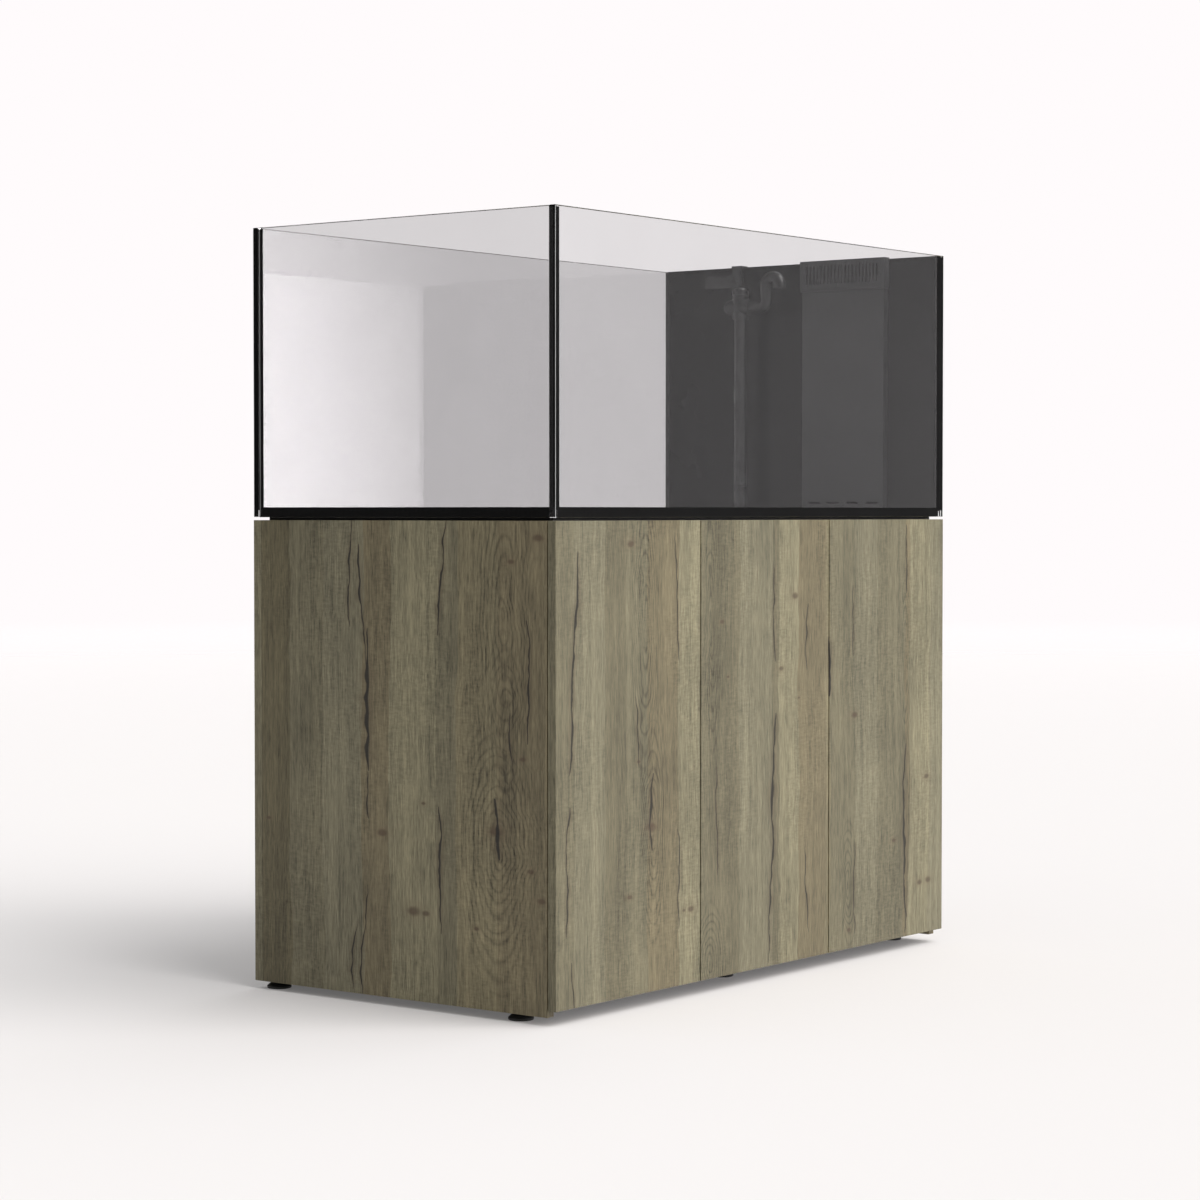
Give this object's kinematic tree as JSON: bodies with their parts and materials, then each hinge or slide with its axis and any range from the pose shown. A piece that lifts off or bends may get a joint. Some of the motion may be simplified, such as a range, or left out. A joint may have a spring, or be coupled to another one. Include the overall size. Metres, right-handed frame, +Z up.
{
  "type": "aquarium on stand",
  "caption": "Rimless glass tank with an opaque overflow end and return pipes, on a three-door wood cabinet that holds a sump and stands on round levelling feet.",
  "frame": {"origin": "centre of the bounding box at the floor", "axes": "+Z up, -Y the long front with the doors, +X the opaque end with the overflow box"},
  "size_m": [1.308, 0.66, 1.313],
  "materials": {
    "clear_glass": "polished clear float glass",
    "black_glass": "polished opaque black",
    "silicone": "satin",
    "foam": "matte foam",
    "black_acrylic": "satin acrylic",
    "filter_plastic": "milky plastic",
    "black_fittings": "moulded, satin",
    "grey_pipe": "extruded, satin",
    "pump_plastic": "moulded, matte",
    "red_handle": "moulded",
    "oak_board": "grey-brown rustic oak decor",
    "black_board": "black decor",
    "nickel_steel": "nickel plated",
    "latch_plastic": "moulded",
    "foot_plastic": "moulded"
  },
  "bodies": {
    "stand": {"base_pane": "clear_glass", "base_panel": "black_board", "bulkheads": "black_fittings", "cup_shelf": "black_acrylic", "drain_pipe": "grey_pipe", "drain_standpipe": "grey_pipe", "drain_valve_body": "black_fittings", "emergency_pipe": "grey_pipe", "emergency_standpipe": "grey_pipe", "end_panel": "black_glass", "foot_inserts": "nickel_steel", "front_pane": "clear_glass", "hinge_arms": "nickel_steel", "hinge_plates": "nickel_steel", "latch_housings": "latch_plastic", "left_pane": "clear_glass", "left_side_panel": "oak_board", "levelling_mat": "foam", "overflow_box": "black_acrylic", "partition": "oak_board", "rear_pane": "clear_glass", "rear_panel": "oak_board", "reservoir": "filter_plastic", "return_cross": "black_fittings", "return_pipe": "grey_pipe", "return_pump": "pump_plastic", "return_riser": "black_fittings", "return_valve_body": "black_fittings", "right_side_panel": "oak_board", "riser_clip": "black_fittings", "side_nozzle": "black_fittings", "silicone_beads": "silicone", "sump_baffles": "clear_glass", "sump_tank": "clear_glass", "top_panel": "oak_board", "weir_cover": "black_acrylic"},
    "door_left": {"door_left": "oak_board", "hinge_cups_left": "nickel_steel"},
    "plunger_left": {"latch_plunger_left": "latch_plastic"},
    "door_middle": {"door_middle": "oak_board", "hinge_cups_middle": "nickel_steel"},
    "plunger_middle": {"latch_plunger_middle": "latch_plastic"},
    "door_right": {"door_right": "oak_board", "hinge_cups_right": "nickel_steel"},
    "plunger_right": {"latch_plunger_right": "latch_plastic"},
    "foot_front_left_body": {"foot_front_left": "foot_plastic"},
    "foot_front_middle_body": {"foot_front_middle": "foot_plastic"},
    "foot_front_right_body": {"foot_front_right": "foot_plastic"},
    "foot_back_left_body": {"foot_back_left": "foot_plastic"},
    "foot_back_middle_body": {"foot_back_middle": "foot_plastic"},
    "foot_back_right_body": {"foot_back_right": "foot_plastic"},
    "comb": {"weir_comb": "black_acrylic"},
    "lid": {"overflow_lid": "black_acrylic"},
    "cup": {"filter_cup": "filter_plastic"},
    "wheel": {"drain_valve_wheel": "red_handle"},
    "lever": {"return_valve_lever": "red_handle"},
    "swan": {"swan_neck": "black_fittings"}
  },
  "joints": [
    {"name": "left_door_hinge", "type": "hinge", "parent": "stand", "child": "door_left", "pos_m": [-0.654, -0.33, 0.4], "axis": [0, 0, -1], "range_deg": [0, 105]},
    {"name": "left_latch_plunger", "type": "slide", "parent": "stand", "child": "plunger_left", "axis": [0, 1, 0], "range_m": [0, 0.003], "stiffness_N_per_m": 500, "springref_m": -0.006},
    {"name": "middle_door_hinge", "type": "hinge", "parent": "stand", "child": "door_middle", "pos_m": [-0.253, -0.33, 0.4], "axis": [0, 0, -1], "range_deg": [0, 105]},
    {"name": "middle_latch_plunger", "type": "slide", "parent": "stand", "child": "plunger_middle", "axis": [0, 1, 0], "range_m": [0, 0.003], "stiffness_N_per_m": 500, "springref_m": -0.006},
    {"name": "right_door_hinge", "type": "hinge", "parent": "stand", "child": "door_right", "pos_m": [0.546, -0.33, 0.4], "axis": [0, 0, 1], "range_deg": [0, 105]},
    {"name": "right_latch_plunger", "type": "slide", "parent": "stand", "child": "plunger_right", "axis": [0, 1, 0], "range_m": [0, 0.003], "stiffness_N_per_m": 500, "springref_m": -0.006},
    {"name": "foot_front_left_screw", "type": "hinge", "parent": "stand", "child": "foot_front_left_body", "pos_m": [-0.623, -0.234, 0], "axis": [0, 0, 1], "range_deg": [0, 2880]},
    {"name": "foot_front_middle_screw", "type": "hinge", "parent": "stand", "child": "foot_front_middle_body", "pos_m": [-0.054, -0.234, 0], "axis": [0, 0, 1], "range_deg": [0, 2880]},
    {"name": "foot_front_right_screw", "type": "hinge", "parent": "stand", "child": "foot_front_right_body", "pos_m": [0.515, -0.234, 0], "axis": [0, 0, 1], "range_deg": [0, 2880]},
    {"name": "foot_back_left_screw", "type": "hinge", "parent": "stand", "child": "foot_back_left_body", "pos_m": [-0.623, 0.302, 0], "axis": [0, 0, 1], "range_deg": [0, 2880]},
    {"name": "foot_back_middle_screw", "type": "hinge", "parent": "stand", "child": "foot_back_middle_body", "pos_m": [-0.054, 0.302, 0], "axis": [0, 0, 1], "range_deg": [0, 2880]},
    {"name": "foot_back_right_screw", "type": "hinge", "parent": "stand", "child": "foot_back_right_body", "pos_m": [0.515, 0.302, 0], "axis": [0, 0, 1], "range_deg": [0, 2880]},
    {"name": "comb_lift", "type": "slide", "parent": "stand", "child": "comb", "axis": [0, 0, 1], "range_m": [0, 0.08]},
    {"name": "lid_lift", "type": "slide", "parent": "stand", "child": "lid", "axis": [0, 0, 1], "range_m": [0, 0.08]},
    {"name": "filter_cup_lift", "type": "slide", "parent": "stand", "child": "cup", "axis": [0, 0, 1], "range_m": [0, 0.2]},
    {"name": "drain_wheel_turn", "type": "hinge", "parent": "stand", "child": "wheel", "pos_m": [0.467, -0.16, 0.545], "axis": [0, -1, 0], "range_deg": [0, 1440]},
    {"name": "return_lever_turn", "type": "hinge", "parent": "stand", "child": "lever", "pos_m": [-0.114, 0.11, 0.61], "axis": [0, -1, 0], "range_deg": [0, 90]},
    {"name": "swan_neck_turn", "type": "hinge", "parent": "stand", "child": "swan", "pos_m": [0.494, 0.11, 1.227], "axis": [0, -1, 0], "range_deg": [0, 60]}
  ]
}
